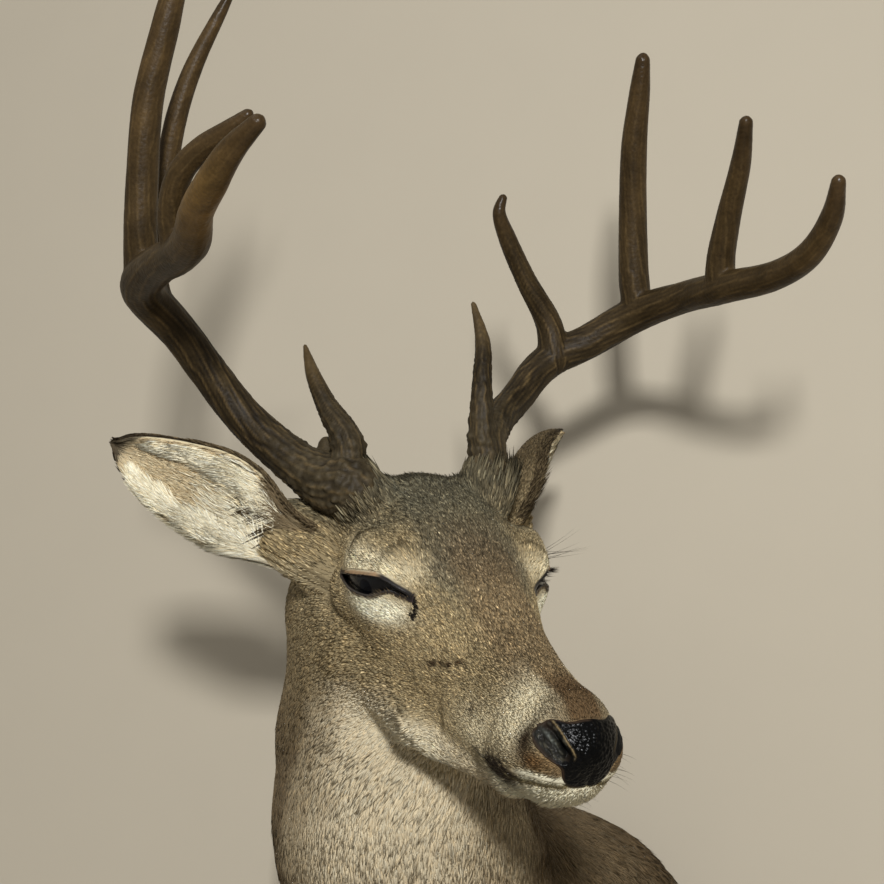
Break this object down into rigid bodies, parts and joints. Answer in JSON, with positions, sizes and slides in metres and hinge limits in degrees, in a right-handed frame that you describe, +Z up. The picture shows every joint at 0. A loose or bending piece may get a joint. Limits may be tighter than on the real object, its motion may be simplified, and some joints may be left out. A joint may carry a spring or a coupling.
{
  "type": "deer shoulder mount",
  "caption": "Life-size white-tailed buck shoulder mount: head turned and lowered on an upright neck, branching antlers, flat wooden backboard that hangs on a wall.",
  "frame": {"origin": "centre of the backboard's rear face, on the wall", "axes": "+Y into the wall, +Z up, +X along the wall to the right of someone facing the mount; the animal looks toward -Y and +X"},
  "size_m": [0.4502, 0.6265, 0.9649],
  "materials": {
    "hide": "short dense grey-brown hair",
    "ear_hide": "short hair, pale and longer inside the ear",
    "nose": "black, pebbled and wet-looking",
    "eye": "polished, very dark brown",
    "antler": "dark brown bone, grooved, worn paler at the tips",
    "backboard_wood": "satin, plain"
  },
  "bodies": {
    "root": {"backboard": "backboard_wood", "shoulders": "hide", "neck": "hide", "head": "hide", "lower_jaw": "hide", "nose_pad": "nose", "ear_left": "ear_hide", "ear_right": "ear_hide", "eye_left": "eye", "eye_right": "eye", "antler_left_beam_lower": "antler", "antler_left_beam_upper": "antler", "antler_left_brow_tine": "antler", "antler_left_second_tine": "antler", "antler_left_third_tine": "antler", "antler_left_fourth_tine": "antler", "antler_right_beam_lower": "antler", "antler_right_beam_upper": "antler", "antler_right_brow_tine": "antler", "antler_right_second_tine": "antler", "antler_right_third_tine": "antler", "antler_right_fourth_tine": "antler"}
  },
  "joints": []
}
